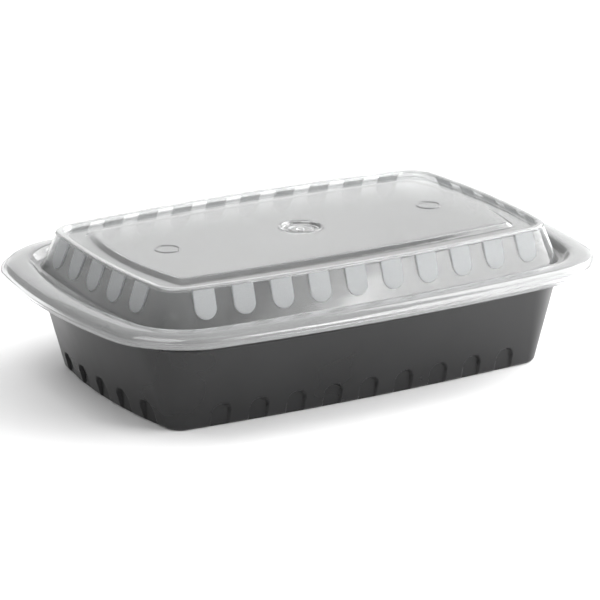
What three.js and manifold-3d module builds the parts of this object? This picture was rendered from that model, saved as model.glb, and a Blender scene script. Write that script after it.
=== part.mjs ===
// A rectangular takeaway meal container: a black tub with its clear domed lid pressed on.
// Millimetres, +Z up. The origin is the middle of the tub's underside, and X runs along the long sides.
import * as THREE from "three";
import { mergeVertices } from "three/addons/utils/BufferGeometryUtils.js";
import Module from "manifold-3d";

// Outlines seen from above. Each is a rounded rectangle whose long sides bow out by bowLong and whose
// short sides bow out by bowShort, both counted from the corner to the middle of the side.
const FLANGE = { length: 222.2, width: 150.4, corner: 26.5, bowLong: 6.2, bowShort: 9.9 };
const DOME_FOOT = { length: 187.6, width: 115.4, corner: 11.5, bowLong: 5.1, bowShort: 4.5 };
const DOME_TOP = { length: 176.6, width: 104.8, corner: 8, bowLong: 5.1, bowShort: 3.7 };
const DOME_RIM = { length: 177.8, width: 106, corner: 9.7, bowLong: 5.1, bowShort: 3.7 };
const PANEL = { length: 156.2, width: 77, corner: 1.2, bowLong: 2.8, bowShort: 5.3 };
const TUB_SHOULDER = { length: 193.4, width: 119.8, corner: 18, bowLong: 5, bowShort: 8 };
const TUB_FOOT = { length: 172.3, width: 98.7, corner: 5.5, bowLong: 3.4, bowShort: 5 };

// Sheet thicknesses, and the main heights above the surface that the tub stands on.
const LID_SHEET = 0.6;
const TUB_SHEET = 0.9;
const SKIRT_BOTTOM = 39.9;
const FLANGE_TOP = 44.8;
const CHANNEL_FLOOR = 41.2;
const LEDGE = 54.3;
const WALL_TOP = 54.8;
const PANEL_TOP = 55.85;
const BEAD_TOP = 56.25;
const SHOULDER = 33.8;
const RIM_UNDERSIDE = 42.8;
const FOOT_RADIUS = 2;

// The spacing of the pads and of the notches along each side.
const PITCH = 15.875;

// Round-ended pads down the dome's wall. They stand steeper than the wall, level with the rim's bead
// at the top and with the wall at the bottom.
const PAD = { width: 8.7, bottom: 44.6, top: 55.2, inset: 0.1, proud: 0.2, sunk: 0.8 };
const PAD_COUNT = { perLong: 10, perShort: 5 };

// Round-topped notches round the tub's foot, deeper towards the top because their backs stand steeper
// than the wall. The sheet follows each one, so it is a bump inside.
const NOTCH = { width: 8.2, top: 9.8, depth: 2, footDepth: 0.6, bumpBottom: 0.6, perLong: 9, perShort: 5 };

// The vent in the middle of the lid and the two small rings beside it.
const VENT = { radius: 8.5, depth: 1, ringRadius: 4.6, ringHeight: 0.45, nubRadius: 1.5, nubHeight: 0.7 };
const SIDE_RING = { radius: 4.7, halfWidth: 0.5, height: 0.3, offset: 59 };

// How finely the outlines are cut: points on each corner, long side and short side.
const CORNER_STEPS = 5;
const LONG_STEPS = 6;
const SHORT_STEPS = 4;
const ROUND_STEPS = 18;
const END_STEPS = 5;

const wasm = await Module();
wasm.setup();

// A merged copy of a three.js geometry as a manifold-3d solid.
function solid(geometry) {
  const bare = geometry.index ? geometry.toNonIndexed() : geometry.clone();
  bare.deleteAttribute("normal");
  bare.deleteAttribute("uv");
  const merged = mergeVertices(bare, 1e-4);
  return new wasm.Manifold(
    new wasm.Mesh({
      numProp: 3,
      vertProperties: new Float32Array(merged.attributes.position.array),
      triVerts: new Uint32Array(merged.index.array),
    }),
  );
}

function geometryOf(body) {
  const mesh = body.getMesh();
  const geometry = new THREE.BufferGeometry();
  geometry.setAttribute("position", new THREE.BufferAttribute(new Float32Array(mesh.vertProperties), 3));
  geometry.setIndex(new THREE.BufferAttribute(new Uint32Array(mesh.triVerts), 1));
  const flat = geometry.toNonIndexed();
  flat.computeVertexNormals();
  return flat;
}

// One ring of points round an outline that is shrunk by inset, anticlockwise from the right side.
function ring({ outline, inset, z }) {
  const halfLength = outline.length / 2 - inset;
  const halfWidth = outline.width / 2 - inset;
  const corner = Math.max(outline.corner - inset, 0.4);
  const centreX = halfLength - corner;
  const centreY = halfWidth - corner;
  const plain = [];
  for (let quarter = 0; quarter < 4; quarter++) {
    const signX = quarter === 0 || quarter === 3 ? 1 : -1;
    const signY = quarter < 2 ? 1 : -1;
    for (let i = 0; i <= CORNER_STEPS; i++) {
      const angle = ((quarter + i / CORNER_STEPS) * Math.PI) / 2;
      plain.push([
        signX * centreX + corner * Math.cos(angle),
        signY * centreY + corner * Math.sin(angle),
      ]);
    }
    const along = quarter % 2 === 0 ? LONG_STEPS : SHORT_STEPS;
    const [startX, startY] = plain[plain.length - 1];
    const endX = quarter % 2 === 0 ? -startX : startX;
    const endY = quarter % 2 === 0 ? startY : -startY;
    for (let i = 1; i < along; i++) {
      const t = i / along;
      plain.push([startX + (endX - startX) * t, startY + (endY - startY) * t]);
    }
  }
  return plain.map(([x, y]) => [
    x * (1 - (outline.bowShort / halfLength) * (y / halfWidth) ** 2),
    y * (1 - (outline.bowLong / halfWidth) * (x / halfLength) ** 2),
    z,
  ]);
}

// The other face of a sheet: each station moved by thickness along the section's mitred normal.
// A section lies in the plane of height against half width, and its normals point out and up.
function offset(stations, thickness) {
  const flat = stations.map((s) => [s.outline.width / 2 - s.inset, s.z]);
  const last = flat.length - 1;
  const normal = (i) => {
    const dx = flat[i + 1][0] - flat[i][0];
    const dz = flat[i + 1][1] - flat[i][1];
    const size = Math.hypot(dx, dz);
    return [dz / size, -dx / size];
  };
  return stations.map((s, i) => {
    const a = normal(Math.min(i, last - 1));
    const b = normal(Math.max(i - 1, 0));
    const sum = [a[0] + b[0], a[1] + b[1]];
    const scale = (2 * thickness) / (sum[0] ** 2 + sum[1] ** 2);
    return { outline: s.outline, inset: s.inset + sum[0] * scale, z: s.z - sum[1] * scale };
  });
}

// A closed skin through a run of rings, with a flat fan at its first and last ring.
function loft(stations) {
  const rings = stations.map(ring);
  const count = rings[0].length;
  const points = rings.flat();
  const first = points.push([0, 0, stations[0].z]) - 1;
  const last = points.push([0, 0, stations[stations.length - 1].z]) - 1;
  const index = [];
  for (let i = 0; i < count; i++) {
    const next = (i + 1) % count;
    index.push(first, next, i);
    for (let k = 0; k + 1 < rings.length; k++) {
      const low = k * count;
      const high = low + count;
      index.push(low + i, low + next, high + next, low + i, high + next, high + i);
    }
    const end = (rings.length - 1) * count;
    index.push(last, end + i, end + next);
  }
  const geometry = new THREE.BufferGeometry();
  geometry.setAttribute("position", new THREE.BufferAttribute(new Float32Array(points.flat()), 3));
  geometry.setIndex(index);
  return geometry;
}

// Half width or half length of an outline's side at a distance along that side.
function sideAt(outline, inset, along, isLong) {
  const half = (isLong ? outline.width : outline.length) / 2 - inset;
  const reach = (isLong ? outline.length : outline.width) / 2 - inset;
  const bow = isLong ? outline.bowLong : outline.bowShort;
  const crossBow = isLong ? outline.bowShort : outline.bowLong;
  return half - bow * (along / (reach - crossBow)) ** 2;
}

// A tab with one round end, its face parallel to the line from low to high, both [out, z].
// Its thickness runs from sunk behind that line to proud in front of it.
function tab({ low, high, width, proud, sunk, roundTop, along, isLong, sign }) {
  const slope = new THREE.Vector2(high[0] - low[0], high[1] - low[1]);
  const height = slope.length();
  const radius = width / 2;
  const shape = new THREE.Shape();
  const roundAt = roundTop ? height - radius : radius;
  const straightAt = roundTop ? 0 : height;
  const ends = roundTop ? [0, Math.PI] : [Math.PI, 2 * Math.PI];
  shape.moveTo(roundTop ? radius : -radius, straightAt);
  for (let i = 0; i <= END_STEPS; i++) {
    const angle = ends[0] + ((ends[1] - ends[0]) * i) / END_STEPS;
    shape.lineTo(radius * Math.cos(angle), roundAt + radius * Math.sin(angle));
  }
  shape.lineTo(roundTop ? -radius : radius, straightAt);
  const geometry = new THREE.ExtrudeGeometry(shape, { depth: proud + sunk, bevelEnabled: false });
  geometry.translate(0, 0, -sunk);
  const out = new THREE.Vector3(0, -sign, 0);
  if (!isLong) out.set(sign, 0, 0);
  const up = new THREE.Vector3(0, 0, 1);
  const side = new THREE.Vector3().crossVectors(up, out);
  const rise = out.clone().multiplyScalar(slope.x / height).addScaledVector(up, slope.y / height);
  const face = new THREE.Vector3().crossVectors(side, rise);
  const matrix = new THREE.Matrix4().makeBasis(side, rise, face);
  const foot = out.clone().multiplyScalar(low[0]).addScaledVector(up, low[1]);
  foot[isLong ? "x" : "y"] += along;
  matrix.setPosition(foot);
  return solid(geometry.applyMatrix4(matrix));
}

// Evenly pitched places, centred on each of the two long sides and the two short sides.
function places({ perLong, perShort }) {
  const found = [];
  for (const isLong of [true, false]) {
    const count = isLong ? perLong : perShort;
    for (const sign of [1, -1]) {
      for (let i = 0; i < count; i++) found.push({ isLong, sign, along: (i - (count - 1) / 2) * PITCH });
    }
  }
  return found;
}

// Turns a profile of [radius, z] points, from axis to axis, about the Z axis.
function turned(profile, steps = ROUND_STEPS) {
  const points = profile.map(([radius, z]) => new THREE.Vector2(radius, z));
  return new THREE.LatheGeometry(points, steps).rotateX(Math.PI / 2);
}

const at = (outline, inset, z) => ({ outline, inset, z });

// The lid's outer face from the skirt's lower edge up over the flange, into the channel that plugs
// the tub's mouth, up the dome's wall, over the stacking rim and ledge, and onto the raised panel.
function lidSection() {
  return [
    at(FLANGE, 0, SKIRT_BOTTOM),
    at(FLANGE, 0, SKIRT_BOTTOM + 1.7),
    at(FLANGE, 0.9, SKIRT_BOTTOM + 2),
    at(FLANGE, 1.2, FLANGE_TOP - 2.3),
    at(FLANGE, 2.2, FLANGE_TOP - 1.1),
    at(FLANGE, 4.4, FLANGE_TOP - 0.25),
    at(FLANGE, 6.8, FLANGE_TOP),
    at(FLANGE, 9, FLANGE_TOP),
    at(FLANGE, 10.3, FLANGE_TOP - 0.5),
    at(FLANGE, 11.4, FLANGE_TOP - 2.1),
    at(FLANGE, 12.5, CHANNEL_FLOOR + 0.3),
    at(FLANGE, 13.6, CHANNEL_FLOOR),
    at(DOME_FOOT, 0, CHANNEL_FLOOR + 0.1),
    at(DOME_TOP, 0, WALL_TOP),
    at(DOME_RIM, 0, WALL_TOP + 0.5),
    at(DOME_RIM, 0.7, BEAD_TOP),
    at(DOME_RIM, 2.7, BEAD_TOP),
    at(DOME_RIM, 3.3, LEDGE + 0.4),
    at(DOME_RIM, 4.2, LEDGE),
    at(PANEL, -2, LEDGE),
    at(PANEL, 0, PANEL_TOP),
  ];
}

function lidGeometry() {
  const outer = lidSection();
  const inner = offset(outer, LID_SHEET).reverse();
  let lid = solid(loft([...inner, ...outer]));
  for (const place of places(PAD_COUNT)) {
    const foot = sideAt(DOME_FOOT, 0, place.along, place.isLong);
    const top = sideAt(DOME_TOP, 0, place.along, place.isLong);
    const down = (WALL_TOP - PAD.bottom) / (WALL_TOP - CHANNEL_FLOOR);
    const low = [top + (foot - top) * down, PAD.bottom];
    const high = [sideAt(DOME_RIM, PAD.inset + PAD.proud, place.along, place.isLong), PAD.top];
    lid = lid.add(tab({ ...PAD, ...place, low, high, roundTop: false }));
  }
  lid = lid.subtract(solid(turned(ventCut()).translate(0, 0, PANEL_TOP)));
  lid = lid.add(solid(turned(ventCup()).translate(0, 0, PANEL_TOP)));
  const ringSection = [
    [SIDE_RING.radius - SIDE_RING.halfWidth, -0.2],
    [SIDE_RING.radius + SIDE_RING.halfWidth, -0.2],
    [SIDE_RING.radius, SIDE_RING.height],
    [SIDE_RING.radius - SIDE_RING.halfWidth, -0.2],
  ];
  for (const sign of [-1, 1]) {
    lid = lid.add(solid(turned(ringSection).translate(sign * SIDE_RING.offset, 0, PANEL_TOP)));
  }
  return geometryOf(lid);
}

// The bore that the vent cup sits in, and the cup: a raised lip, a sunk floor with a ring, and a nub.
function ventCut() {
  const bore = VENT.radius - LID_SHEET;
  return [[0, -2 * VENT.depth], [bore, -2 * VENT.depth], [bore, VENT.depth], [0, VENT.depth]];
}

function ventCup() {
  const floor = -VENT.depth;
  const ringTop = floor + VENT.ringHeight;
  return [
    [0, floor - LID_SHEET],
    [VENT.radius - LID_SHEET, floor - LID_SHEET],
    [VENT.radius, -LID_SHEET],
    [VENT.radius + 0.4, -0.2],
    [VENT.radius, 0.25],
    [VENT.radius - 0.8, 0],
    [VENT.radius - 1.6, floor],
    [VENT.ringRadius + 0.7, floor],
    [VENT.ringRadius, ringTop],
    [VENT.ringRadius - 0.7, floor],
    [VENT.nubRadius, floor],
    [VENT.nubRadius * 0.7, floor + VENT.nubHeight * 0.75],
    [0, floor + VENT.nubHeight],
  ];
}

// The tub's outer face from its flat underside up the sloping wall, out over the shoulder, up the
// band that grips the lid's plug, and out under the rim to its turned-down lip.
function tubSection() {
  const draft = Math.atan((TUB_SHOULDER.width - TUB_FOOT.width) / 2 / SHOULDER);
  const tangent = FOOT_RADIUS * Math.tan(Math.PI / 4 - draft / 2);
  const steps = 4;
  const foot = [];
  for (let i = 0; i <= steps; i++) {
    const angle = ((Math.PI / 2 - draft) * i) / steps;
    foot.push(
      at(
        TUB_FOOT,
        tangent - FOOT_RADIUS * Math.sin(angle),
        FOOT_RADIUS * (1 - Math.cos(angle)),
      ),
    );
  }
  return [
    ...foot,
    at(TUB_SHOULDER, 0, SHOULDER),
    at(FLANGE, 12.9, SHOULDER + 1.3),
    at(FLANGE, 11.6, SHOULDER + 3),
    at(FLANGE, 10.9, 40.6),
    at(FLANGE, 9.9, RIM_UNDERSIDE - 1),
    at(FLANGE, 9, RIM_UNDERSIDE - 0.2),
    at(FLANGE, 8.2, RIM_UNDERSIDE),
    at(FLANGE, 5.2, RIM_UNDERSIDE),
    at(FLANGE, 3.9, RIM_UNDERSIDE - 0.4),
    at(FLANGE, 3.3, RIM_UNDERSIDE - 1),
    at(FLANGE, 3.1, RIM_UNDERSIDE - 1.9),
  ];
}

function tubGeometry() {
  const outer = tubSection();
  const inner = offset(outer, TUB_SHEET).reverse();
  let tub = solid(loft([...outer, ...inner]));
  const filled = solid(loft(outer));
  const deepening = (NOTCH.depth - NOTCH.footDepth) / NOTCH.top;
  for (const place of places(NOTCH)) {
    const foot = sideAt(TUB_FOOT, 0, place.along, place.isLong);
    const slope = (sideAt(TUB_SHOULDER, 0, place.along, place.isLong) - foot) / SHOULDER;
    const back = (z) => [foot + slope * z - (NOTCH.footDepth + deepening * z) * Math.hypot(1, slope), z];
    const bump = tab({
      ...place,
      low: back(NOTCH.bumpBottom),
      high: back(NOTCH.top + TUB_SHEET),
      width: NOTCH.width + 2 * TUB_SHEET,
      proud: NOTCH.depth - TUB_SHEET / 2,
      sunk: TUB_SHEET,
      roundTop: true,
    });
    const cut = tab({
      ...place,
      low: back(-NOTCH.depth),
      high: back(NOTCH.top),
      width: NOTCH.width,
      proud: 3 * NOTCH.depth,
      sunk: 0,
      roundTop: true,
    });
    tub = tub.add(bump.intersect(filled)).subtract(cut);
  }
  return geometryOf(tub);
}

const blackPolypropylene = new THREE.MeshStandardMaterial({ color: 0x262627, roughness: 0.38, metalness: 0 });
const clearPolypropylene = new THREE.MeshStandardMaterial({
  color: 0xe4e6e7,
  roughness: 0.25,
  metalness: 0,
  transparent: true,
  opacity: 0.45,
  side: THREE.DoubleSide,
});

const tub = new THREE.Mesh(tubGeometry(), blackPolypropylene);
tub.name = "tub";

const lid = new THREE.Mesh(lidGeometry(), clearPolypropylene);
lid.name = "lid";

const container = new THREE.Group();
container.name = "meal_container";
container.add(tub, lid);

export default container;
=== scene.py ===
"""Takeaway meal container: a black moulded tub, shut by a clear domed lid that is pressed onto its rim.

Both sheets are sections drawn in millimetres and carried round bowed, round-cornered outlines. The
section of the dressed piece is the CAD section with its corners eased, and its points are worked out
as whole numpy arrays. +X runs along the long sides, the origin is the middle of the tub's underside.
"""

from __future__ import annotations

import logging
import math
from dataclasses import dataclass
from enum import Enum

import bpy
import numpy as np
from mathutils import Matrix, Vector


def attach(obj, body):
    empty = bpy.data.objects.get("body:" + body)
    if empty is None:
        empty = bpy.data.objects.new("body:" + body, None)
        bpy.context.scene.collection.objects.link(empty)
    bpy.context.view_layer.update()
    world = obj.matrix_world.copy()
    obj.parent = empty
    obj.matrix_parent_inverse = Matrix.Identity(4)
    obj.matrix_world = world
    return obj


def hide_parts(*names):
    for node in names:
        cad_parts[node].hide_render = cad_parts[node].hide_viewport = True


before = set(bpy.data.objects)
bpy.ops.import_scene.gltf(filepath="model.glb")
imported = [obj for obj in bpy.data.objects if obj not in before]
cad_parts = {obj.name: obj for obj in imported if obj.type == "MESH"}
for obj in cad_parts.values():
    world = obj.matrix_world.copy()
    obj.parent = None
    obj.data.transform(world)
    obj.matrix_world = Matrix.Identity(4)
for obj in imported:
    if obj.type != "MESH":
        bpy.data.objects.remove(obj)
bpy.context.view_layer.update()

log = logging.getLogger("meal_container")

MM = 0.001
# Distance between neighbouring pads on the lid, and between neighbouring notches on the tub.
PITCH = 15.875
# The least corner radius that an outline keeps when it is shrunk.
LEAST_CORNER = 0.4
# Faces that meet at a sharper angle than this, in degrees, are shaded apart.
SHARP_EDGE = 40
# The columns of a section's stations.
HALF_LENGTH, HALF_WIDTH, CORNER, BOW_LONG, BOW_SHORT, INSET, HEIGHT = range(7)


class Side(Enum):
    """Which pair of sides a pad or notch is on."""

    LONG = "long"
    SHORT = "short"


# Outlines and sections


@dataclass(frozen=True)
class Outline:
    """A round-cornered rectangle seen from above, whose sides bow out. All sizes in millimetres."""

    length: float
    width: float
    corner: float
    bow_long: float
    bow_short: float

    def at(self, inset: float, z: float) -> np.ndarray:
        """One station of a section.

        Args:
            inset: how far the outline is shrunk.
            z: height above the table.

        Returns:
            Half length, half width, corner radius, the two bows, inset and height.
        """
        half = (self.length / 2, self.width / 2)
        return np.array([*half, self.corner, self.bow_long, self.bow_short, inset, z])

    def side(self, inset: float, along: np.ndarray, side: Side) -> np.ndarray:
        """Distance of a side from the middle of the container.

        The side is a parabola: its half width less the bow times the square of the place along it.

        Args:
            inset: how far the outline is shrunk.
            along: places along the side, from its middle.
            side: which pair of sides.

        Returns:
            The distances, one for each place.
        """
        halves = [self.width / 2 - inset, self.length / 2 - inset]
        bows = [self.bow_long, self.bow_short]
        if side is Side.SHORT:
            halves.reverse()
            bows.reverse()
        reach = halves[1] - bows[1]
        return halves[0] - bows[0] * (along / reach) ** 2

    def slope(self, along: np.ndarray, side: Side) -> np.ndarray:
        """How far the side falls back for each millimetre along it, from a short step either way."""
        step = 0.01
        return (self.side(0, along - step, side) - self.side(0, along + step, side)) / (2 * step)


FLANGE = Outline(222.2, 150.4, 26.5, 6.2, 9.9)
DOME_FOOT = Outline(187.6, 115.4, 11.5, 5.1, 4.5)
DOME_TOP = Outline(176.6, 104.8, 8, 5.1, 3.7)
DOME_RIM = Outline(177.8, 106, 9.7, 5.1, 3.7)
PANEL = Outline(156.2, 77, 1.2, 2.8, 5.3)
TUB_SHOULDER = Outline(193.4, 119.8, 18, 5, 8)
TUB_FOOT = Outline(172.3, 98.7, 5.5, 3.4, 5)


def flat_section(stations: np.ndarray) -> np.ndarray:
    """The section in its own plane: half width less inset, against height."""
    return np.stack([stations[:, HALF_WIDTH] - stations[:, INSET], stations[:, HEIGHT]], axis=1)


def sheet_behind(outer: np.ndarray, thickness: float) -> np.ndarray:
    """The hidden face of a sheet.

    Each station moves back by the thickness along its mitred normal: the sum of the two
    neighbouring unit normals, times twice the thickness over that sum's squared length.

    Args:
        outer: stations of the shown face, one a row.
        thickness: the sheet's thickness.

    Returns:
        The stations of the other face, in the same order.
    """
    step = np.diff(flat_section(outer), axis=0)
    step /= np.linalg.norm(step, axis=1, keepdims=True)
    normal = np.stack([step[:, 1], -step[:, 0]], axis=1)
    total = np.vstack([normal[:1], normal]) + np.vstack([normal, normal[-1:]])
    scale = 2 * thickness / (total**2).sum(axis=1)
    inner = outer.copy()
    inner[:, INSET] += total[:, 0] * scale
    inner[:, HEIGHT] -= total[:, 1] * scale
    return inner


def eased(rows: np.ndarray, flat: np.ndarray, radius: float | np.ndarray, steps: int) -> np.ndarray:
    """Rounds every corner of a section.

    Each corner is cut where its two sides are a radius away, or 0.45 of the shorter side where
    that is less, and a quadratic Bezier curve with the corner as its middle handle fills the cut.

    Args:
        rows: the section's rows, of any kind that can be blended.
        flat: the same rows as points in the section's plane.
        radius: the largest cut in millimetres, one for all corners or one for each.
        steps: pieces in each curve.

    Returns:
        The rounded section's rows.
    """
    size = np.linalg.norm(np.diff(flat, axis=0), axis=1)
    cut = np.minimum(radius, 0.45 * np.minimum(size[:-1], size[1:]))
    corner = rows[1:-1]
    before = corner + (rows[:-2] - corner) * (cut / size[:-1])[:, None]
    after = corner + (rows[2:] - corner) * (cut / size[1:])[:, None]
    t = np.linspace(0, 1, steps + 1)[None, :, None]
    curve = (1 - t) ** 2 * before[:, None] + 2 * t * (1 - t) * corner[:, None] + t**2 * after[:, None]
    return np.vstack([rows[:1], curve.reshape(-1, rows.shape[1]), rows[-1:]])


@dataclass(frozen=True)
class RingGrid:
    """Where the points of every ring lie round an outline, anticlockwise from the right side."""

    corner_steps: int
    long_at: tuple[float, ...]
    short_at: tuple[float, ...]

    def weights(self) -> np.ndarray:
        """Four weights for each point of a ring.

        A point's x is the corner centre's x times the first weight plus the corner radius times
        the third, and its y is the same with the second and fourth. A side blends from one corner
        to the next, so its centre weights run from plus to minus one.

        Returns:
            One row of four weights for each point.
        """
        rows = []
        for quarter in range(4):
            sign_x = 1 if quarter in (0, 3) else -1
            sign_y = 1 if quarter < 2 else -1
            angle = (quarter + np.linspace(0, 1, self.corner_steps + 1)) * math.pi / 2
            ones = np.ones_like(angle)
            rows.append(np.stack([sign_x * ones, sign_y * ones, np.cos(angle), np.sin(angle)], axis=1))
            is_long = quarter % 2 == 0
            run = 1 - 2 * np.array(self.long_at if is_long else self.short_at)
            still = np.ones_like(run)
            end = np.round([math.cos(angle[-1]), math.sin(angle[-1])], 9)
            centre = (sign_x * run, sign_y * still) if is_long else (sign_x * still, sign_y * run)
            rows.append(np.stack([*centre, end[0] * still, end[1] * still], axis=1))
        return np.vstack(rows)

    def side_of(self) -> np.ndarray:
        """For each point of a ring 1 on a long side, 2 on a short side and 0 at a corner."""
        corner = np.zeros(self.corner_steps + 1, int)
        long_side, short_side = np.full(len(self.long_at), 1), np.full(len(self.short_at), 2)
        return np.concatenate([corner, long_side, corner, short_side] * 2)

    def rings(self, stations: np.ndarray) -> np.ndarray:
        """Carries a section round its outlines.

        The plain rounded rectangle is bowed by x times one less the short bow over the half
        length times y squared over the half width squared, and y the same way with the long bow.

        Args:
            stations: the section, one station a row.

        Returns:
            An array of rings by points by x, y and z.
        """
        inset = stations[:, INSET]
        half_x, half_y = stations[:, HALF_LENGTH] - inset, stations[:, HALF_WIDTH] - inset
        corner = np.maximum(stations[:, CORNER] - inset, LEAST_CORNER)
        centre_x, centre_y, arc_x, arc_y = self.weights().T
        x = np.outer(half_x - corner, centre_x) + np.outer(corner, arc_x)
        y = np.outer(half_y - corner, centre_y) + np.outer(corner, arc_y)
        half_x, half_y = half_x[:, None], half_y[:, None]
        bowed_x = x * (1 - stations[:, [BOW_SHORT]] / half_x * (y / half_y) ** 2)
        bowed_y = y * (1 - stations[:, [BOW_LONG]] / half_y * (x / half_x) ** 2)
        z = np.broadcast_to(stations[:, [HEIGHT]], x.shape)
        return np.stack([bowed_x, bowed_y, z], axis=2)


def even(count: int) -> tuple[float, ...]:
    """Evenly spaced places along a side, its two ends left out."""
    return tuple(np.linspace(0, 1, count + 1)[1:-1])


def skin(rings: np.ndarray) -> tuple[np.ndarray, np.ndarray, np.ndarray]:
    """A closed skin through a run of rings.

    Point i of ring k has the number k times the ring's size plus i. Quad (k, i) joins points i and
    i + 1 of ring k to the same two of ring k + 1, and a fan closes the first and the last ring.

    Args:
        rings: rings by points by x, y and z.

    Returns:
        The points, the quads and the fans' triangles.
    """
    count, size = rings.shape[:2]
    here = np.arange(size)
    after = (here + 1) % size
    base = (np.arange(count - 1) * size)[:, None]
    quads = np.stack([base + here, base + after, base + size + after, base + size + here], axis=-1)
    points = np.vstack([rings.reshape(-1, 3), rings[:1].mean(axis=1), rings[-1:].mean(axis=1)])
    first, last = np.full(size, count * size), np.full(size, count * size + 1)
    end = (count - 1) * size
    first_fan = np.stack([first, after, here], axis=1)
    last_fan = np.stack([last, end + here, end + after], axis=1)
    return points, quads.reshape(-1, 4), np.vstack([first_fan, last_fan])


def piece(
    name: str, points: np.ndarray, faces: list[np.ndarray], material: bpy.types.Material
) -> bpy.types.Object:
    """Makes one mesh object, smooth-shaded except across its sharp edges.

    Args:
        name: the piece's name.
        points: its points in millimetres.
        faces: arrays of faces, each array of one kind.
        material: its finish.

    Returns:
        The object, linked to the scene.
    """
    mesh = bpy.data.meshes.new(name)
    mesh.from_pydata((points * MM).tolist(), [], [face for kind in faces for face in kind.tolist()])
    mesh.polygons.foreach_set("use_smooth", np.ones(len(mesh.polygons), bool))
    mesh.update()
    mesh.set_sharp_from_angle(angle=math.radians(SHARP_EDGE))
    mesh.materials.append(material)
    made = bpy.data.objects.new(name, mesh)
    bpy.context.scene.collection.objects.link(made)
    return made


def many(unit_faces: list[np.ndarray], copies: int, size: int) -> list[np.ndarray]:
    """The same faces for each of several copies of a mesh, with their numbers moved on."""
    shift = (np.arange(copies) * size)[:, None, None]
    return [(kind[None] + shift).reshape(-1, kind.shape[1]) for kind in unit_faces]


def mount(made: bpy.types.Object, node: str) -> None:
    """Sets a piece in the frame: it rides on the root body and stands for a CAD node.

    Args:
        made: the piece.
        node: the CAD node it stands for.
    """
    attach(made, "root")
    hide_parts(node)
    log.info("%s: %d faces, for %s", made.name, len(made.data.polygons), node)


# Finishes

# The colour Mix node's sockets by number, because its other kinds of value share their names.
COLOUR_A, COLOUR_B, COLOUR_RESULT = 6, 7, 2


def linear(hex_colour: str) -> tuple[float, float, float, float]:
    """An sRGB hex colour as the linear colour that shaders take."""
    values = np.array([int(hex_colour[i : i + 2], 16) / 255 for i in (1, 3, 5)])
    low, high = values / 12.92, ((values + 0.055) / 1.055) ** 2.4
    return (*np.where(values <= 0.04045, low, high).tolist(), 1.0)


def per_metre(size_mm: float) -> float:
    """The scale of a noise whose features are that many millimetres across."""
    return 1 / (size_mm * MM)


def add(tree: bpy.types.NodeTree, kind: str, settings: dict, links: dict | None = None) -> bpy.types.Node:
    """Adds a node with its settings and links.

    Args:
        tree: the material's node tree.
        kind: the node's type.
        settings: values by property name or input name.
        links: output sockets by the name of the input they go to.

    Returns:
        The node.
    """
    node = tree.nodes.new(kind)
    for key, value in settings.items():
        if hasattr(node, key):
            setattr(node, key, value)
        else:
            node.inputs[key].default_value = value
    for key, socket in (links or {}).items():
        tree.links.new(socket, node.inputs[key])
    return node


def blank(name: str) -> tuple[bpy.types.Material, bpy.types.NodeTree]:
    """A new material with an empty node tree."""
    material = bpy.data.materials.new(name)
    material.use_nodes = True
    material.node_tree.nodes.clear()
    return material, material.node_tree


def stretched(low: float, high: float) -> dict[str, float]:
    """Settings that stretch the middle range of a noise, where most of its values lie, from low to high."""
    return {"From Min": 0.3, "From Max": 0.7, "To Min": low, "To Max": high}


@dataclass(frozen=True)
class MouldedBlackPolypropylene:
    """Injection-moulded polypropylene filled with carbon black, from a tool with a fine spark finish.

    To the eye it is near black with a satin sheen: light reflects broadly off the walls, and the
    fine grain breaks it up a little.
    """

    dark: str = "#141415"
    light: str = "#1b1b1c"
    ior: float = 1.49
    # The real grain is about 0.05 mm. It is drawn at 0.7 mm, the finest that the render can show.
    grain_mm: float = 0.7
    grain_depth_mm: float = 0.003
    # The sheet cools unevenly, so its sheen drifts over some centimetres.
    flow_mm: float = 30
    smoothest: float = 0.26
    roughest: float = 0.35

    def material(self) -> bpy.types.Material:
        """Builds the material."""
        material, tree = blank("moulded_black_polypropylene")
        place = add(tree, "ShaderNodeTexCoord", {}).outputs["Object"]
        fine, slow = per_metre(self.grain_mm), per_metre(self.flow_mm)
        grain = add(tree, "ShaderNodeTexNoise", {"Scale": fine, "Detail": 3.0}, {"Vector": place})
        flow = add(tree, "ShaderNodeTexNoise", {"Scale": slow, "Detail": 2.0}, {"Vector": place})
        share = add(tree, "ShaderNodeMapRange", stretched(0, 1), {"Value": flow.outputs["Fac"]})
        colour = add(tree, "ShaderNodeMix", {"data_type": "RGBA"}, {"Factor": share.outputs["Result"]})
        colour.inputs[COLOUR_A].default_value = linear(self.dark)
        colour.inputs[COLOUR_B].default_value = linear(self.light)
        sheen = stretched(self.smoothest, self.roughest)
        rough = add(tree, "ShaderNodeMapRange", sheen, {"Value": flow.outputs["Fac"]})
        bump = add(
            tree,
            "ShaderNodeBump",
            {"Strength": 0.5, "Distance": self.grain_depth_mm * MM},
            {"Height": grain.outputs["Fac"]},
        )
        shader = add(
            tree,
            "ShaderNodeBsdfPrincipled",
            {"IOR": self.ior},
            {
                "Base Color": colour.outputs[COLOUR_RESULT],
                "Roughness": rough.outputs["Result"],
                "Normal": bump.outputs["Normal"],
            },
        )
        add(tree, "ShaderNodeOutputMaterial", {}, {"Surface": shader.outputs["BSDF"]})
        return material


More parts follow.
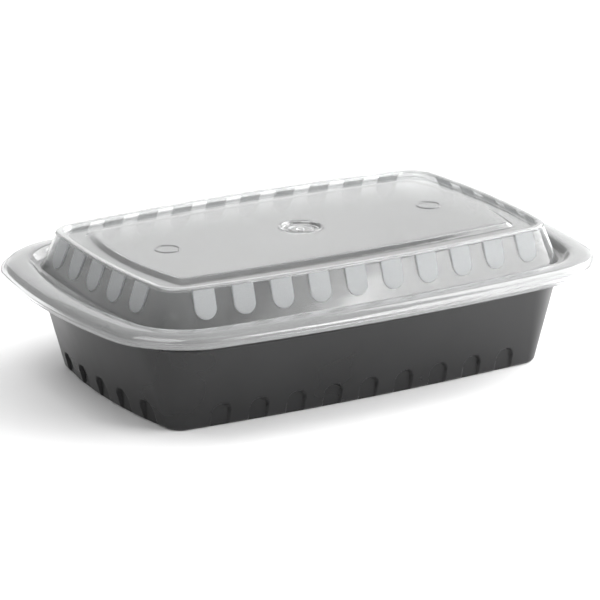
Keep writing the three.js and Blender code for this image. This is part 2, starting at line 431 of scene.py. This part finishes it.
@dataclass(frozen=True)
class ClearPolypropylene:
    """Thin clarified polypropylene, thermoformed from sheet.

    To the eye it is clear with a milky haze: what lies behind shows dimmed and slightly soft, and
    the surface has a wet, gently rippled gloss.
    """

    name: str = "clear_polypropylene"
    tint: str = "#e3e4e4"
    haze: float = 0.08
    ior: float = 1.5
    # Thermoforming leaves slow, shallow ripples in the sheet, a centimetre or so long.
    ripple_mm: float = 14
    ripple_depth_mm: float = 0.002
    # Its gloss drifts over some centimetres, with how hard the sheet was pressed on the mould.
    cloud_mm: float = 40
    smoothest: float = 0.08
    roughest: float = 0.13

    def material(self) -> bpy.types.Material:
        """Builds the material."""
        material, tree = blank(self.name)
        place = add(tree, "ShaderNodeTexCoord", {}).outputs["Object"]
        short, slow = per_metre(self.ripple_mm), per_metre(self.cloud_mm)
        ripple = add(tree, "ShaderNodeTexNoise", {"Scale": short, "Detail": 2.0}, {"Vector": place})
        cloud = add(tree, "ShaderNodeTexNoise", {"Scale": slow, "Detail": 3.0}, {"Vector": place})
        bump = add(
            tree,
            "ShaderNodeBump",
            {"Strength": 0.6, "Distance": self.ripple_depth_mm * MM},
            {"Height": ripple.outputs["Fac"]},
        )
        gloss = stretched(self.smoothest, self.roughest)
        rough = add(tree, "ShaderNodeMapRange", gloss, {"Value": cloud.outputs["Fac"]})
        shader = add(
            tree,
            "ShaderNodeBsdfPrincipled",
            {"Base Color": linear(self.tint), "IOR": self.ior, "Transmission Weight": 1 - self.haze},
            {"Roughness": rough.outputs["Result"], "Normal": bump.outputs["Normal"]},
        )
        add(tree, "ShaderNodeOutputMaterial", {}, {"Surface": shader.outputs["BSDF"]})
        return material


@dataclass(frozen=True)
class FrostedPolypropylene:
    """The same sheet where the mould was sandblasted, so the face scatters light.

    To the eye it is an even, whitish grey with no reflections, and a fine grain.
    """

    name: str = "frosted_polypropylene"
    tint: str = "#dfe1e2"
    shade: str = "#d6d8d9"
    see_through: float = 0.67
    roughness: float = 0.6
    # A pad is one sheet with the wall behind it, so its own faces hardly bend the light.
    ior: float = 1.12
    # Blasting grit leaves pits of about 0.1 mm, drawn here at 0.5 mm so that they show.
    grit_mm: float = 0.5
    grit_depth_mm: float = 0.01

    def material(self) -> bpy.types.Material:
        """Builds the material."""
        material, tree = blank(self.name)
        place = add(tree, "ShaderNodeTexCoord", {}).outputs["Object"]
        fine = per_metre(self.grit_mm)
        grit = add(tree, "ShaderNodeTexNoise", {"Scale": fine, "Detail": 2.0}, {"Vector": place})
        share = add(tree, "ShaderNodeMapRange", stretched(0, 1), {"Value": grit.outputs["Fac"]})
        colour = add(tree, "ShaderNodeMix", {"data_type": "RGBA"}, {"Factor": share.outputs["Result"]})
        colour.inputs[COLOUR_A].default_value = linear(self.shade)
        colour.inputs[COLOUR_B].default_value = linear(self.tint)
        bump = add(
            tree,
            "ShaderNodeBump",
            {"Strength": 0.5, "Distance": self.grit_depth_mm * MM},
            {"Height": grit.outputs["Fac"]},
        )
        shader = add(
            tree,
            "ShaderNodeBsdfPrincipled",
            {"IOR": self.ior, "Roughness": self.roughness, "Transmission Weight": self.see_through},
            {"Base Color": colour.outputs[COLOUR_RESULT], "Normal": bump.outputs["Normal"]},
        )
        add(tree, "ShaderNodeOutputMaterial", {}, {"Surface": shader.outputs["BSDF"]})
        return material


@dataclass(frozen=True)
class PaleFloor:
    """Matt white studio paper under the container."""

    colour: str = "#f4f4f4"
    roughness: float = 0.9

    def material(self) -> bpy.types.Material:
        """Builds the material."""
        material, tree = blank("studio_paper")
        finish = {"Base Color": linear(self.colour), "Roughness": self.roughness}
        shader = add(tree, "ShaderNodeBsdfPrincipled", finish)
        add(tree, "ShaderNodeOutputMaterial", {}, {"Surface": shader.outputs["BSDF"]})
        return material


# The tub


@dataclass(frozen=True)
class Tub:
    """The tub: sloping walls on a rounded foot with round-topped notches, a shoulder and a rolled rim."""

    sheet: float = 0.9
    shoulder: float = 33.8
    rim_underside: float = 42.8
    foot_radius: float = 2.0
    notch_width: float = 8.2
    notch_top: float = 9.8
    notch_depth: float = 2.0
    notch_foot_depth: float = 0.6
    notches_long: int = 9
    notches_short: int = 5
    ramp: float = 0.8

    def section(self) -> tuple[np.ndarray, np.ndarray]:
        """The section of the outer face and of the inner face.

        The foot is an arc that meets the sloping wall: its inset is the tangent length less the
        radius times the sine of the angle turned, its height the radius times one less the cosine.

        Returns:
            The outer face's stations from the underside to the rim's lip, and the inner face's.
        """
        draft = math.atan((TUB_SHOULDER.width - TUB_FOOT.width) / 2 / self.shoulder)
        tangent = self.foot_radius * math.tan(math.pi / 4 - draft / 2)
        angles = np.linspace(0, math.pi / 2 - draft, 5)
        inset = tangent - self.foot_radius * np.sin(angles)
        foot = [TUB_FOOT.at(i, z) for i, z in zip(inset, self.foot_radius * (1 - np.cos(angles)))]
        rim = self.rim_underside
        outer = np.array(
            [
                TUB_FOOT.at(tangent + 1.5, 0),
                *foot,
                TUB_SHOULDER.at(0, self.shoulder),
                FLANGE.at(12.9, self.shoulder + 1.3),
                FLANGE.at(11.6, self.shoulder + 3),
                FLANGE.at(10.9, 40.6),
                FLANGE.at(9.9, rim - 1),
                FLANGE.at(9, rim - 0.2),
                FLANGE.at(8.2, rim),
                FLANGE.at(5.2, rim),
                FLANGE.at(3.9, rim - 0.4),
                FLANGE.at(3.3, rim - 1),
                FLANGE.at(3.1, rim - 1.9),
            ]
        )
        return outer, sheet_behind(outer, self.sheet)

    def with_rows(self, stations: np.ndarray, heights: np.ndarray) -> np.ndarray:
        """Adds stations to the straight wall.

        Args:
            stations: an eased section that runs up the wall.
            heights: where to add a station, by straight blending of its neighbours.

        Returns:
            The section with the added stations in their places.
        """
        long_gap = int(np.argmax(np.diff(stations[:, HEIGHT])))
        low, high = stations[long_gap], stations[long_gap + 1]
        share = ((heights - low[HEIGHT]) / (high[HEIGHT] - low[HEIGHT]))[:, None]
        added = low + share * (high - low)
        return np.vstack([stations[: long_gap + 1], added, stations[long_gap + 1 :]])

    def columns(self, outline: Outline, side: Side, notches: int) -> tuple[float, ...]:
        """Places of the ring points along a side: close together where a notch's edge curves.

        The other side's bow draws a long straight run in towards the middle, so each wanted place
        is divided by one less that bow over the half length before it becomes a share of the run.

        Args:
            outline: the outline at the foot.
            side: which pair of sides.
            notches: how many notches it has.

        Returns:
            The places as shares of the straight run between two corners.
        """
        half, bow = outline.length / 2, outline.bow_short
        if side is Side.SHORT:
            half, bow = outline.width / 2, outline.bow_long
        run = half - outline.corner
        # From a notch's centre line outwards: a fine run across its edge, and one place clear of it.
        edge = np.concatenate([np.linspace(2.2, 4.9, 10), [6.1]])
        offsets = np.concatenate([-edge[::-1], [-0.8, 0.8], edge])
        centres = (np.arange(notches) - (notches - 1) / 2) * PITCH
        places = (centres[:, None] + offsets[None]).ravel() / (1 - bow / half)
        clear_of_corner = np.abs(places) < run - 0.3
        return tuple((places[clear_of_corner] + run) / (2 * run))

    def notched(self, rings: np.ndarray, side_of: np.ndarray, behind: float) -> np.ndarray:
        """Presses the notches into a face.

        The notch's flat back stands steeper than the wall, so its depth grows with height. A point's
        distance in front of that back is taken off it, times a smooth step of how far inside the
        notch's round-topped outline it lies: three times the square less twice the cube.

        Args:
            rings: the face's rings.
            side_of: which kind of side each ring point is on.
            behind: how far the face lies behind the tub's outer face.

        Returns:
            The rings with the notches.
        """
        made = rings.copy()
        grown = self.notch_width / 2 + behind
        for side, axis, cross, count in (
            (Side.LONG, 0, 1, self.notches_long),
            (Side.SHORT, 1, 0, self.notches_short),
        ):
            on_side = side_of == (1 if side is Side.LONG else 2)
            block = made[:, on_side]
            along, out, z = block[..., axis], np.abs(block[..., cross]), block[..., 2]
            foot = TUB_FOOT.side(0, along, side)
            slope = (TUB_SHOULDER.side(0, along, side) - foot) / self.shoulder
            stretch = np.hypot(1, slope)
            depth = self.notch_foot_depth + (self.notch_depth - self.notch_foot_depth) * z / self.notch_top
            back = foot + slope * z - (depth + behind) * stretch
            half = (count - 1) / 2
            nearest = np.clip(np.round(along / PITCH + half), 0, count - 1) - half
            across = along - nearest * PITCH
            above = np.maximum(z * stretch - (self.notch_top * stretch + behind - grown), 0)
            inside = (grown - np.hypot(across, above)) / self.ramp
            step = np.clip(inside, 0, 1)
            step = step**2 * (3 - 2 * step)
            moved = out - step * np.maximum(out - back, 0)
            block[..., cross] = np.sign(block[..., cross]) * moved
            made[:, on_side] = block
        return made

    def build(self) -> bpy.types.Object:
        """Builds and dresses the tub."""
        outer, inner = self.section()
        # Heights of the added rows, close together where the notches' round tops are.
        outer_rows = np.concatenate([[4.4, 5.2], np.arange(5.8, 10.9, 0.36), [11.4, 12.4]])
        inner_rows = np.concatenate([[4.6, 5.8], np.arange(6.6, 11.6, 0.7), [12.6]])
        outer = self.with_rows(eased(outer, flat_section(outer), radius=1.0, steps=3), outer_rows)
        inner = self.with_rows(eased(inner, flat_section(inner), radius=0.8, steps=1), inner_rows)
        grid = RingGrid(
            corner_steps=12,
            long_at=self.columns(TUB_FOOT, Side.LONG, self.notches_long),
            short_at=self.columns(TUB_FOOT, Side.SHORT, self.notches_short),
        )
        # The long side behind runs from right to left, and the columns are the same both ways.
        side_of = grid.side_of()
        shown = self.notched(grid.rings(outer), side_of, 0)
        hidden = self.notched(grid.rings(inner), side_of, self.sheet)
        points, quads, fans = skin(np.concatenate([shown, hidden[::-1]]))
        made = piece("tub_shell", points, [quads, fans], MouldedBlackPolypropylene().material())
        mount(made, "tub")
        return made


# The lid


@dataclass(frozen=True)
class Lid:
    """The lid: a skirt and flange over the tub's rim, a channel, a domed wall, a rim and a panel."""

    sheet: float = 0.6
    skirt_bottom: float = 39.9
    flange_top: float = 44.8
    channel_floor: float = 41.2
    wall_top: float = 54.8
    ledge: float = 54.3
    panel_top: float = 55.85
    bead_top: float = 56.25
    # How far in from their outlines the milkier flange and bead reach.
    flange_width: float = 10.8
    bead_width: float = 3.1

    def section(self) -> np.ndarray:
        """The outer face's stations from the skirt's lower edge to the panel."""
        bottom, top, floor = self.skirt_bottom, self.flange_top, self.channel_floor
        return np.array(
            [
                FLANGE.at(0, bottom),
                FLANGE.at(0, bottom + 1.7),
                FLANGE.at(0.9, bottom + 2),
                FLANGE.at(1.2, top - 2.3),
                FLANGE.at(2.2, top - 1.1),
                FLANGE.at(4.4, top - 0.25),
                FLANGE.at(6.8, top),
                FLANGE.at(9, top),
                FLANGE.at(10.3, top - 0.5),
                FLANGE.at(11.4, top - 2.1),
                FLANGE.at(12.5, floor + 0.3),
                FLANGE.at(13.6, floor),
                DOME_FOOT.at(0, floor + 0.1),
                DOME_TOP.at(0, self.wall_top),
                DOME_RIM.at(0, self.wall_top + 0.5),
                DOME_RIM.at(0.7, self.bead_top),
                DOME_RIM.at(2.7, self.bead_top),
                DOME_RIM.at(3.3, self.ledge + 0.4),
                DOME_RIM.at(4.2, self.ledge),
                PANEL.at(-2, self.ledge),
                PANEL.at(0, self.panel_top),
                PANEL.at(3, self.panel_top),
            ]
        )

    def disc(self, edge: np.ndarray, profile: np.ndarray) -> np.ndarray:
        """Rings that turn the panel's outline into the vent's circles.

        A circle's point lies on the line from the middle to the outline's point, so its place is
        that point's unit vector times the radius. Between the two a ring is a straight blend.

        Args:
            edge: the outline's points.
            profile: radii and heights from outside to the middle.

        Returns:
            The rings, blended ones first.
        """
        unit = edge[:, :2] / np.linalg.norm(edge[:, :2], axis=1, keepdims=True)
        circles = np.concatenate(
            [
                profile[:, :1, None] * unit[None],
                np.broadcast_to(profile[:, 1, None, None], (len(profile), len(edge), 1)),
            ],
            axis=2,
        )
        # How far each blended ring has turned from the outline into the first circle.
        share = np.array([0.2, 0.45, 0.7, 0.88])[:, None, None]
        return np.concatenate([(1 - share) * edge + share * circles[:1], circles])

    def outside(self, outline: Outline, inset: float, points: np.ndarray) -> np.ndarray:
        """Which points lie outside an outline.

        The outline is a ring of points round the middle, and a point is outside it where its
        distance from the middle is more than the ring's at the same bearing.

        Args:
            outline: the outline.
            inset: how far it is shrunk.
            points: the points to test.

        Returns:
            True for each point outside.
        """
        grid = RingGrid(corner_steps=24, long_at=even(24), short_at=even(16))
        edge = grid.rings(outline.at(inset, 0)[None])[0]
        bearing, reach = np.arctan2(edge[:, 1], edge[:, 0]), np.hypot(edge[:, 0], edge[:, 1])
        order = np.argsort(bearing)
        there = np.arctan2(points[:, 1], points[:, 0])
        limit = np.interp(there, bearing[order], reach[order], period=2 * math.pi)
        return np.hypot(points[:, 0], points[:, 1]) > limit

    def thick(self, middles: np.ndarray) -> np.ndarray:
        """Which faces are on the flange or on the rim's bead, by their middles."""
        level = middles[:, 2]
        flange = (level < self.flange_top + 1) & self.outside(FLANGE, self.flange_width, middles)
        bead = (level > self.wall_top + 0.3) & self.outside(DOME_RIM, self.bead_width, middles)
        return flange | bead

    def build(self) -> list[bpy.types.Object]:
        """Builds and dresses the lid's sheet, its pads and the small rings on its panel."""
        outer = self.section()
        inner = sheet_behind(outer, self.sheet)
        both = np.vstack([inner[::-1], outer])
        # The small step under the rim stays crisp: it shows as a thin dark line.
        crisp = np.abs(both[1:-1, HEIGHT] - self.wall_top - 0.25) < 0.3
        grid = RingGrid(corner_steps=16, long_at=even(56), short_at=even(36))
        body = grid.rings(eased(both, flat_section(both), radius=np.where(crisp, 0.15, 0.7), steps=4))
        vent = Vent(self.panel_top, self.sheet)
        over = self.disc(body[-1], vent.top())
        under = self.disc(body[0], vent.bottom())
        points, quads, fans = skin(np.concatenate([under[::-1], body, over]))
        clear = ClearPolypropylene().material()
        shell = piece("lid_shell", points, [quads, fans], clear)
        # The flange and the rim's bead aren't drawn out thin like the rest, so they are milkier.
        milky = ClearPolypropylene(name="thick_clear_polypropylene", haze=0.17)
        shell.data.materials.append(milky.material())
        thick = np.concatenate([self.thick(points[quads].mean(axis=1)), np.zeros(len(fans), bool)])
        shell.data.polygons.foreach_set("material_index", thick.astype(np.int32))
        mount(shell, "lid")
        pads = Pads().build(self, FrostedPolypropylene().material())
        rings = PanelRings(self.panel_top).build(clear)
        return [shell, pads, rings]


@dataclass(frozen=True)
class Vent:
    """The vent in the middle of the panel: a raised lip round a sunk dish with a ring and a nub."""

    panel_top: float
    sheet: float
    radius: float = 8.5
    depth: float = 1.0
    rounding: float = 0.35

    def top(self) -> np.ndarray:
        """Radii and heights of the shown face, rounded, from the panel to the middle."""
        r, d = self.radius, self.depth
        rough = np.array(
            [
                [r + 1.2, 0],
                [r + 0.45, 0],
                [r + 0.1, 0.25],
                [r - 0.5, 0.22],
                [r - 0.9, -0.1],
                [r - 1.6, -d],
                [5.3, -d],
                [4.9, -d + 0.4],
                [4.3, -d + 0.4],
                [3.9, -d],
                [1.7, -d],
                [1.3, -d + 0.5],
                [0.9, -d + 0.7],
                [0.3, -d + 0.72],
            ]
        )
        rough[:, 1] += self.panel_top
        return eased(rough, rough, self.rounding, steps=3)

    def bottom(self) -> np.ndarray:
        """Radii and heights of the hidden face."""
        r, d = self.radius, self.depth + self.sheet
        rough = np.array([[r + 1.2, -self.sheet], [r, -self.sheet], [r - 0.6, -d], [r - 1.6, -d], [0.3, -d]])
        rough[:, 1] += self.panel_top
        return eased(rough, rough, self.rounding, steps=3)


@dataclass(frozen=True)
class Pads:
    """Round-ended stacking pads down the dome's wall, turned to face the way the wall faces."""

    width: float = 8.7
    bottom: float = 44.6
    top: float = 55.2
    inset: float = 0.1
    proud: float = 0.2
    sunk: float = 0.8
    per_long: int = 10
    per_short: int = 5

    def unit(self) -> tuple[np.ndarray, np.ndarray]:
        """One pad's rings with the height left open.

        The outline runs anticlockwise: the top edge, down the left, round the bottom and up the
        right. Five rings make its edge: two of the full outline, then three drawn in that round the
        edge over onto the flat face.

        Returns:
            Places across, up and out for each ring, and a share of the pad's height to add to up.
        """
        r = self.width / 2
        arc = np.linspace(math.pi, 2 * math.pi, 19)
        top = np.linspace(1, -1, 5)
        across = np.concatenate([top, np.cos(arc)])
        lift = np.concatenate([np.zeros(len(top)), np.sin(arc)])
        is_top = np.concatenate([np.ones(len(top)), np.zeros(len(arc))])
        # How far each ring is drawn in, and how far out it stands.
        edge = (
            (0, -self.sunk),
            (0, self.proud - 0.14),
            (0.06, self.proud - 0.04),
            (0.2, self.proud),
            (0.9, self.proud),
        )
        rings, shares = [], []
        for drawn_in, out in edge:
            up = (1 - is_top) * (r + lift * (r - drawn_in))
            rings.append(np.stack([across * (r - drawn_in), up, np.full_like(up, out)], axis=1))
            shares.append(is_top)
        return np.array(rings), np.array(shares)

    def build(self, lid: Lid, material: bpy.types.Material) -> bpy.types.Object:
        """Builds every pad as one piece.

        Each pad has its own axes: out is square to the bowed wall, rise follows the line from the
        pad's foot on the wall to its head at the rim, and its face is square to both.

        Args:
            lid: the lid that carries them.
            material: the frosted finish.

        Returns:
            The pads' object.
        """
        rings, shares = self.unit()
        unit_points, quads, fans = skin(rings)
        lift = np.concatenate([shares.ravel(), [0.5, 0.5]])
        up = np.array([0.0, 0.0, 1.0])
        climb = self.top - self.bottom
        sets = []
        for side, count in ((Side.LONG, self.per_long), (Side.SHORT, self.per_short)):
            along = (np.arange(count) - (count - 1) / 2) * PITCH
            down = (lid.wall_top - self.bottom) / (lid.wall_top - lid.channel_floor)
            head, foot = DOME_TOP.side(0, along, side), DOME_FOOT.side(0, along, side)
            low = head + (foot - head) * down
            high = DOME_RIM.side(self.inset + self.proud, along, side)
            turn = np.arctan(DOME_RIM.slope(along, side))
            for sign in (1.0, -1.0):
                outward = np.array([0.0, sign, 0.0] if side is Side.LONG else [sign, 0.0, 0.0])
                run = np.array([1.0, 0.0, 0.0] if side is Side.LONG else [0.0, 1.0, 0.0])
                out = np.cos(turn)[:, None] * outward + np.sin(turn)[:, None] * run
                across = np.cross(up, out)
                height = np.hypot(high - low, climb)
                rise = ((high - low) / height)[:, None] * out + (climb / height)[:, None] * up
                face = np.cross(across, rise)
                middle = low[:, None] * outward + along[:, None] * run + self.bottom * up
                raised = unit_points[None, :, 1] + lift[None] * height[:, None]
                sets.append(
                    middle[:, None]
                    + unit_points[None, :, :1] * across[:, None]
                    + raised[..., None] * rise[:, None]
                    + unit_points[None, :, 2:] * face[:, None]
                )
        points = np.concatenate(sets)
        faces = many([quads, fans], len(points), points.shape[1])
        made = piece("lid_pads", points.reshape(-1, 3), faces, material)
        mount(made, "lid")
        return made


@dataclass(frozen=True)
class PanelRings:
    """Two low rings raised on the panel, one on either side of the vent."""

    panel_top: float
    radius: float = 4.7
    half_width: float = 0.5
    height: float = 0.3
    sunk: float = 0.02
    offset: float = 59.0
    section_points: int = 12
    turned_points: int = 48

    def build(self, material: bpy.types.Material) -> bpy.types.Object:
        """Builds both rings as one piece.

        Each is a closed section turned about a vertical axis: a ring's point is the section's
        radius times the cosine and sine of its angle, and the section closes on itself.

        Args:
            material: the lid's finish.

        Returns:
            The rings' object.
        """
        rows, columns = self.section_points, self.turned_points
        swing = np.linspace(0, 2 * math.pi, rows + 1)[:-1]
        reach = self.radius - self.half_width * np.cos(swing)
        level = self.height * np.sin(swing) - self.sunk + self.panel_top
        angle = np.linspace(0, 2 * math.pi, columns + 1)[:-1]
        turned = np.stack(
            [
                np.outer(reach, np.cos(angle)),
                np.outer(reach, np.sin(angle)),
                np.broadcast_to(level[:, None], (rows, columns)),
            ],
            axis=2,
        )
        row, column = np.meshgrid(np.arange(rows), np.arange(columns), indexing="ij")
        here, above = row * columns, (row + 1) % rows * columns
        after = (column + 1) % columns
        quads = np.stack([here + column, above + column, above + after, here + after], axis=-1)
        shift = np.array([[-self.offset, 0, 0], [self.offset, 0, 0]])
        points = (turned.reshape(1, -1, 3) + shift[:, None]).reshape(-1, 3)
        made = piece("lid_rings", points, many([quads.reshape(-1, 4)], 2, rows * columns), material)
        mount(made, "lid")
        return made


# The studio


@dataclass(frozen=True)
class Softbox:
    """A soft light, placed by its bearing from the front and its elevation, and facing the part.

    Angles are in degrees, its distance and size in metres.
    """

    name: str
    bearing: float
    elevation: float
    distance: float
    width: float
    height: float
    radiance: float

    def build(self) -> bpy.types.Object:
        """Builds the light. Its power is the radiance times pi times its area."""
        data = bpy.data.lights.new(self.name, "AREA")
        data.shape = "RECTANGLE"
        data.size, data.size_y = self.width, self.height
        data.energy = self.radiance * math.pi * self.width * self.height
        light = bpy.data.objects.new(self.name, data)
        bearing, elevation = math.radians(self.bearing), math.radians(self.elevation)
        towards = Vector(
            (
                math.sin(bearing) * math.cos(elevation),
                -math.cos(bearing) * math.cos(elevation),
                math.sin(elevation),
            )
        )
        light.location = towards * self.distance
        light.rotation_euler = towards.to_track_quat("Z", "Y").to_euler()
        bpy.context.scene.collection.objects.link(light)
        return light


@dataclass(frozen=True)
class Studio:
    """The pale floor, which reaches some metres each way, the even surroundings and the soft lights."""

    floor_reach: float = 4.0
    surroundings: float = 0.65
    softboxes: tuple[Softbox, ...] = (
        # The key's left edge is feathered by two weaker strips.
        Softbox("key_edge", 24.4, 28, 1.6, 0.15, 1.2, 2.0),
        Softbox("key_left", 29.5, 28, 1.6, 0.15, 1.2, 3.8),
        Softbox("key", 55.3, 28, 1.6, 1.38, 1.2, 6.3),
        Softbox("key_side", 100, 35, 1.6, 1.2, 1.2, 4.5),
        Softbox("back", 149, 22, 1.8, 1.8, 0.9, 0.8),
        Softbox("overhead", 0, 88, 1.6, 1.2, 1.2, 0.6),
        Softbox("fill", -80, 62, 1.6, 1.0, 0.8, 3.2),
    )

    def build(self) -> None:
        """Builds the floor, the world and the lights."""
        corners = np.array([[-1, -1, 0], [1, -1, 0], [1, 1, 0], [-1, 1, 0]]) * self.floor_reach / MM
        floor = piece("floor", corners, [np.array([[0, 1, 2, 3]])], PaleFloor().material())
        world = bpy.data.worlds.new("surroundings")
        world.use_nodes = True
        background = world.node_tree.nodes["Background"]
        background.inputs["Color"].default_value = linear("#ffffff")
        background.inputs["Strength"].default_value = self.surroundings
        bpy.context.scene.world = world
        for softbox in self.softboxes:
            softbox.build()
        bpy.context.scene.view_settings.view_transform = "Standard"


@dataclass(frozen=True)
class StudioCamera:
    """A long lens at the photograph's viewing angle, in radians and millimetres.

    The two clip distances are in metres.
    """

    azimuth: float = -0.5391394
    elevation: float = 0.3117987
    roll: float = -0.0031183
    distance: float = 1357.9
    aside: float = -0.1303
    above: float = 24.6207
    lens: float = 207.186
    sensor: float = 36.0
    clip_near: float = 0.05
    clip_far: float = 50.0

    def build(self) -> bpy.types.Object:
        """Builds the camera from its right, up and back axes."""
        data = bpy.data.cameras.new("camera")
        data.lens, data.sensor_width = self.lens, self.sensor
        data.clip_start, data.clip_end = self.clip_near, self.clip_far
        camera = bpy.data.objects.new("camera", data)
        turn, flat = self.azimuth, math.cos(self.elevation)
        right = Vector((math.cos(turn), math.sin(turn), 0))
        back = Vector((math.sin(turn) * flat, -math.cos(turn) * flat, math.sin(self.elevation)))
        up = back.cross(right)
        turned_right = math.cos(self.roll) * right - math.sin(self.roll) * up
        turned_up = math.sin(self.roll) * right + math.cos(self.roll) * up
        matrix = Matrix((turned_right, turned_up, back)).transposed().to_4x4()
        place = back * self.distance + turned_right * self.aside + turned_up * self.above
        matrix.translation = place * MM
        camera.matrix_world = matrix
        bpy.context.scene.collection.objects.link(camera)
        bpy.context.scene.camera = camera
        return camera


def main() -> None:
    """Builds the container and its studio."""
    logging.basicConfig(level=logging.INFO, format="%(name)s: %(message)s")
    StudioCamera().build()
    Studio().build()
    Tub().build()
    Lid().build()


if __name__ == "__main__":
    main()
